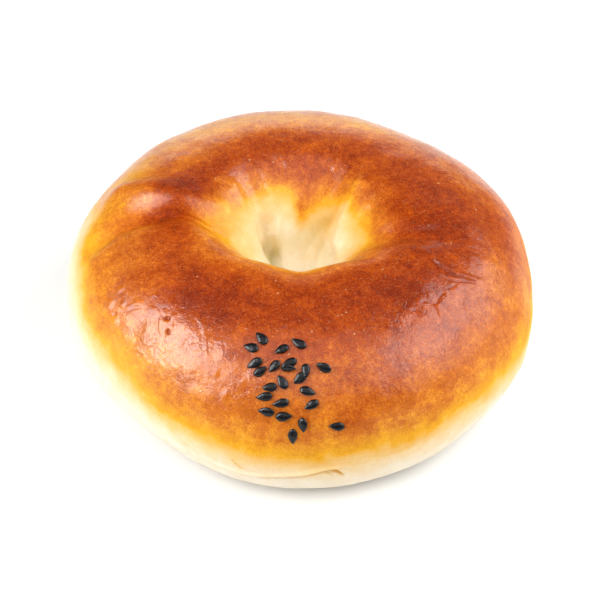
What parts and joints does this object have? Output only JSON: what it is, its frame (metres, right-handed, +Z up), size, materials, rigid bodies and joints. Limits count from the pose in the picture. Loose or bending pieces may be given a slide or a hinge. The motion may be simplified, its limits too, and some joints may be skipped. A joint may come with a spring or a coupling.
{
  "type": "red bean bun",
  "caption": "Round glossy browned bun with a deep hollow pressed into the middle of its top, a cream hollow and foot, and black sesame seeds on its front shoulder.",
  "frame": {"origin": "on the base plane, under the middle of the bun's width and depth", "axes": "+Z up through the hollow, which is also the bun's shortest extent; -Y towards the seeded front; +X to the right seen from the front"},
  "size_m": [0.1, 0.099, 0.0371],
  "materials": {
    "crust": "baked enriched dough, egg-washed and glossy, browned on top and cream in the hollow and at the foot",
    "sesame": "black sesame seed, smooth with a soft gloss"
  },
  "bodies": {
    "root": {"bun": "crust"}
  },
  "joints": []
}
